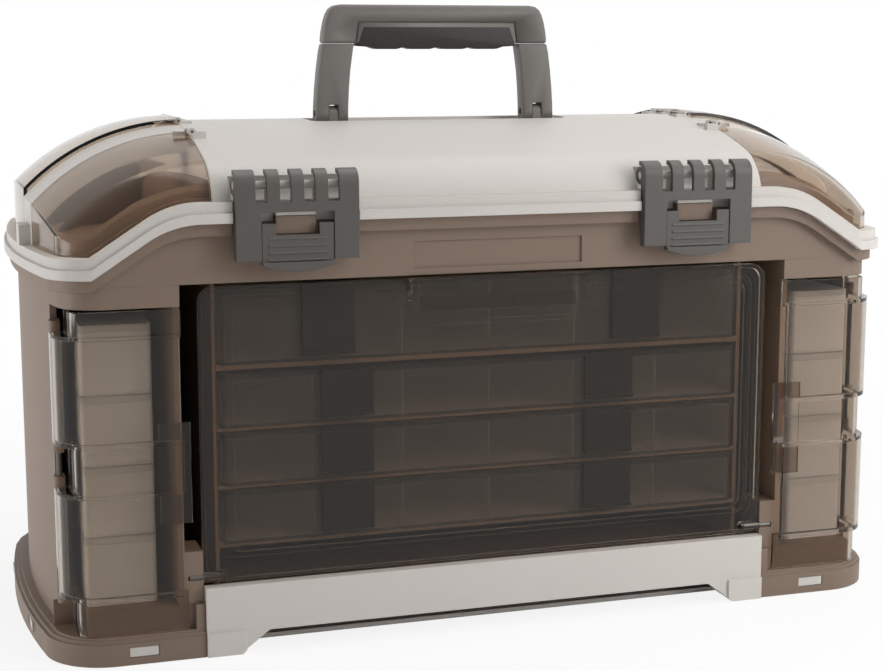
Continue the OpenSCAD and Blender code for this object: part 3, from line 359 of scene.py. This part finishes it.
# name, colour, tint of its shadow, roughness, share that passes, wave, bending of light
smoke = clear_plastic(
    "smoke sheet", (0.53, 0.46, 0.39), (0.82, 0.77, 0.72), 0.05, 1.0, 0.04, 1.32)
cover_smoke = clear_plastic(
    "cover sheet", (0.61, 0.535, 0.465), (0.85, 0.82, 0.78), 0.05, 1.0, 0.03, 1.24)
box_clear = clear_plastic(
    "clear box", (0.93, 0.93, 0.93), (0.95, 0.95, 0.95), 0.12, 0.96, 0.03, 1.15)
end_box_clear = clear_plastic(
    "milky box", (0.84, 0.865, 0.90), (0.88, 0.88, 0.9), 0.3, 0.5, 0.03, 1.2)
print("clear:", [m.name for m in (smoke, cover_smoke, box_clear, end_box_clear)])


# %% [markdown]
# Hinge pins are plain drawn wire: metal, with a fine noise in its roughness.

# %% Steel wire
def wire_steel():
    material = bpy.data.materials.new("pin wire")
    material.use_nodes = True
    tree = material.node_tree
    skin = tree.nodes["Principled BSDF"]
    skin.inputs["Metallic"].default_value = 1.0
    where = tree.nodes.new("ShaderNodeTexCoord").outputs["Object"]
    lines = noise(tree, where, 300.0, 3.0)
    ramp = tree.nodes.new("ShaderNodeMapRange")
    ramp.inputs["To Min"].default_value = 0.25
    ramp.inputs["To Max"].default_value = 0.45
    tree.links.new(lines, ramp.inputs["Value"])
    tree.links.new(ramp.outputs[0], skin.inputs["Roughness"])
    skin.inputs["Base Color"].default_value = (0.10, 0.095, 0.09, 1)
    return material


steel = wire_steel()
print("metal:", steel.name)


# %% [markdown]
# Each hard piece keeps its shape and gets the finish that its slot in the record names, apart
# from the bin covers and end boxes, which are paler than the other clear pieces.

# %% Dress the built pieces
FINISH = {
    "taupe_plastic": taupe,
    "cream_plastic": cream,
    "smoke_plastic": smoke,
    "clear_plastic": box_clear,
    "black_plastic": catch_black,
    "latch_plastic": latch_grey,
    "handle_plastic": handle_grey,
    "grip_rubber": grip_rubber,
    "pin_steel": steel,
}


def finish_of(part):
    if "_cover_" in part["node"]:
        return cover_smoke
    if part["node"].startswith("end_box"):
        return end_box_clear
    return FINISH[part["material_slot"]]


for part in frame["record"]["subparts"]:
    piece = nodes[part["node"]]
    piece.data.materials.clear()
    piece.data.materials.append(finish_of(part))


# %% [markdown]
# The carrying handle is seen against the sky, so its outline gets its own pieces: a bar with
# rounded top corners, two legs that bow outwards, a soft grip let into the bar with finger
# scallops below, and grey covers over the lugs that the legs turn on.

# %% Handle
HANDLE_Y = -0.006
PIVOT_Z = 0.331
SEAM_Z = 0.3784
BAR_T = 0.0134
LEG_T = 0.0124
FOOT_Z = PIVOT_Z - LEG_T / 2
SLOT = (0.07105, 0.07765)
SEAM_GAP = 0.0002
BAR_SIDE = [(0.0814, SEAM_Z), (0.0806, 0.386), (0.0792, 0.393), (0.0776, 0.398),
            (0.0756, 0.4016), (0.0725, 0.4038), (0.0680, 0.4046)]
LEG_OUTER = [(0.0866, FOOT_Z), (0.0862, 0.336), (0.0854, 0.348), (0.0842, 0.360),
             (0.0826, 0.372), (0.0813, SEAM_Z - SEAM_GAP)]
LEG_INNER = [(0.0596, SEAM_Z - SEAM_GAP), (0.0608, 0.370), (0.0622, 0.360), (0.0632, 0.348),
             (0.0638, 0.336), (0.0640, FOOT_Z)]
WEB_Z = PIVOT_Z + 0.006
LEG_MIDDLE = 0.0744
PIN_HOLE_R = 0.0023
GROOVE_DEPTH = 0.0024
SMOOTH_ANGLE = math.radians(35)
LUG_X = 0.07435
LUG_W = 0.0062
LUG_R = 0.0053
LUG_FOOT_Z = 0.3229
GRIP_STAND_OUT = 0.0012
GRIP_LOW_Z = 0.3762
SCALLOP_HALF_RUN = 0.048
SCALLOP_LENGTH = 0.024
SCALLOP_DEPTH = 0.0016
TRIM_MARGIN = 0.01


def only(piece):
    bpy.ops.object.select_all(action="DESELECT")
    piece.select_set(True)
    bpy.context.view_layer.objects.active = piece


def apply_modifier(piece, kind, **settings):
    only(piece)
    modifier = piece.modifiers.new(kind.lower(), kind)
    for key, value in settings.items():
        setattr(modifier, key, value)
    bpy.ops.object.modifier_apply(modifier=modifier.name)


def plate(name, outline, middle, thickness, along="Y"):
    """A flat piece: the outline, then pulled out along Y, or along X for a side view."""
    bpy.ops.mesh.primitive_circle_add(vertices=len(outline), radius=0.05, fill_type="NGON")
    piece = bpy.context.object
    piece.name = name
    start = middle - thickness / 2
    for vertex, (a, z) in zip(piece.data.vertices, outline):
        vertex.co = (a, start, z) if along == "Y" else (start, a, z)
    bpy.ops.object.mode_set(mode="EDIT")
    bpy.ops.mesh.select_all(action="SELECT")
    step = (0, thickness, 0) if along == "Y" else (thickness, 0, 0)
    bpy.ops.mesh.extrude_region_move(TRANSFORM_OT_translate={"value": step})
    bpy.ops.mesh.select_all(action="SELECT")
    bpy.ops.mesh.normals_make_consistent(inside=False)
    bpy.ops.object.mode_set(mode="OBJECT")
    return piece


def soften(piece, width, segments=3):
    apply_modifier(piece, "BEVEL", width=width, segments=segments, limit_method="ANGLE",
                   angle_limit=SMOOTH_ANGLE, use_clamp_overlap=True)
    only(piece)
    bpy.ops.object.shade_smooth_by_angle(angle=SMOOTH_ANGLE)


def cut(piece, tool):
    apply_modifier(piece, "BOOLEAN", operation="DIFFERENCE", object=tool, solver="EXACT")
    bpy.data.objects.remove(tool, do_unlink=True)


def side_name(side):
    return "left" if side < 0 else "right"


def mirrored(points):
    return [(-x, z) for x, z in reversed(points)]


def pin_hole(side):
    bpy.ops.mesh.primitive_cylinder_add(vertices=32, radius=PIN_HOLE_R, depth=0.04,
                                        location=(side * LEG_MIDDLE, HANDLE_Y, PIVOT_Z),
                                        rotation=(0, math.radians(90), 0))
    return bpy.context.object


def foot_trim(side):
    """What lies outside the leg's rounded foot, so that the leg clears the lid as it folds."""
    arc = [(HANDLE_Y + LEG_T / 2 * math.cos(a), PIVOT_Z + LEG_T / 2 * math.sin(a))
           for a in [math.pi * (1 + k / 24) for k in range(25)]]
    low = PIVOT_Z - TRIM_MARGIN
    front, back = HANDLE_Y - TRIM_MARGIN, HANDLE_Y + TRIM_MARGIN
    around = [(back, PIVOT_Z), (back, low), (front, low), (front, PIVOT_Z)]
    return plate("foot trim", arc + around, side * LEG_MIDDLE, 0.04, "X")


def make_bar():
    bar = plate("handle_bar", BAR_SIDE + mirrored(BAR_SIDE), HANDLE_Y, BAR_T)
    soften(bar, 0.0022, 4)
    # groove round the seat of the grip, front and back
    ring = [(0.0592, 0.3775), (0.0568, 0.3932), (-0.0568, 0.3932), (-0.0592, 0.3775),
            (-0.0582, 0.3775), (-0.0560, 0.3923), (0.0560, 0.3923), (0.0582, 0.3775)]
    for face in (-1, 1):
        cut(bar, plate("groove", ring, HANDLE_Y + face * BAR_T / 2, GROOVE_DEPTH))
    return bar


def make_leg(side):
    fork = [(SLOT[0], FOOT_Z), (SLOT[0], WEB_Z), (SLOT[1], WEB_Z), (SLOT[1], FOOT_Z)]
    outline = LEG_OUTER + LEG_INNER + fork
    if side < 0:
        outline = mirrored(outline)
    leg = plate("handle_leg_" + side_name(side), outline, HANDLE_Y, LEG_T)
    soften(leg, 0.0012)
    cut(leg, foot_trim(side))
    cut(leg, pin_hole(side))
    return leg


def make_grip():
    """Slanted ends, and four shallow scallops for the fingers along the underside."""
    lower = []
    for step in range(49):
        x = SCALLOP_HALF_RUN - 0.002 * step
        wave = abs(math.sin(math.pi * (x + SCALLOP_HALF_RUN) / SCALLOP_LENGTH))
        lower.append((x, GRIP_LOW_Z - SCALLOP_DEPTH * min(1.0, 1.6 * wave)))
    outline = [(0.0530, 0.3896), (0.0572, 0.3768)] + lower + [(-0.0572, 0.3768), (-0.0530, 0.3896)]
    grip = plate("handle_soft_grip", outline, HANDLE_Y, BAR_T + GRIP_STAND_OUT)
    soften(grip, 0.0008, 2)
    return grip


def make_lug_cover(side):
    arc = [(HANDLE_Y + LUG_R * math.cos(a), PIVOT_Z + LUG_R * math.sin(a))
           for a in [math.pi * k / 16 for k in range(17)]]
    outline = arc + [(HANDLE_Y - LUG_R, LUG_FOOT_Z), (HANDLE_Y + LUG_R, LUG_FOOT_Z)]
    cover = plate("lug_cover_" + side_name(side), outline, side * LUG_X, LUG_W, "X")
    only(cover)
    bpy.ops.object.shade_smooth_by_angle(angle=SMOOTH_ANGLE)
    return cover


def dress(piece, material, body):
    piece.data.materials.clear()
    piece.data.materials.append(material)
    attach(piece, body)


handle_pieces = [make_bar(), make_leg(-1), make_leg(1)]
for piece in handle_pieces:
    dress(piece, handle_grey, "handle")
    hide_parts("handle")
soft_grip = make_grip()
dress(soft_grip, grip_rubber, "handle")
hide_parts("handle_grip")
for side in (-1, 1):
    dress(make_lug_cover(side), handle_grey, "lid")
print("handle:", [piece.name for piece in handle_pieces])
